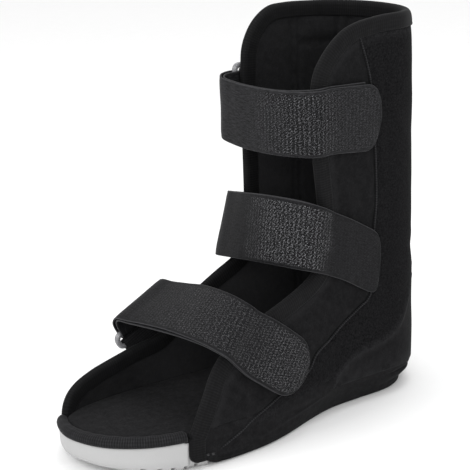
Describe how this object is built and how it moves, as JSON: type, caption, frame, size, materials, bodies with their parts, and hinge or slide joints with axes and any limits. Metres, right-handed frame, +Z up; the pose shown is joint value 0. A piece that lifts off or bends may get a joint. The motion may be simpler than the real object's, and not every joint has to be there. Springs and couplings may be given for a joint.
{
  "type": "post operative shoe",
  "caption": "High, open front and open toe post operative boot with a hollow fabric upper, grey rocker sole and fold back hook and loop straps.",
  "frame": {"origin": "on the floor at the middle of the heel's flat", "axes": "-Y towards the toe, +X towards the wearer's left, +Z up"},
  "size_m": [0.1315, 0.3119, 0.3005],
  "materials": {
    "grey_rubber": "matt",
    "black_rubber": "matt",
    "footbed_foam": "brushed cloth",
    "foam_laminate": "matt knit over foam",
    "edge_binding": "ribbed tape",
    "strap_webbing": "woven, with hook and loop",
    "tab_webbing": "woven",
    "loop_plastic": "smooth moulded"
  },
  "bodies": {
    "root": {"sole": "grey_rubber", "rand": "black_rubber", "insole": "footbed_foam", "upper": "foam_laminate", "toe_rim": "edge_binding", "strap_1": "strap_webbing", "strap_2": "strap_webbing", "strap_3": "strap_webbing", "loop_1": "loop_plastic", "loop_2": "loop_plastic", "loop_3": "loop_plastic", "loop_tab_1": "tab_webbing", "loop_tab_2": "tab_webbing", "loop_tab_3": "tab_webbing"}
  },
  "joints": []
}
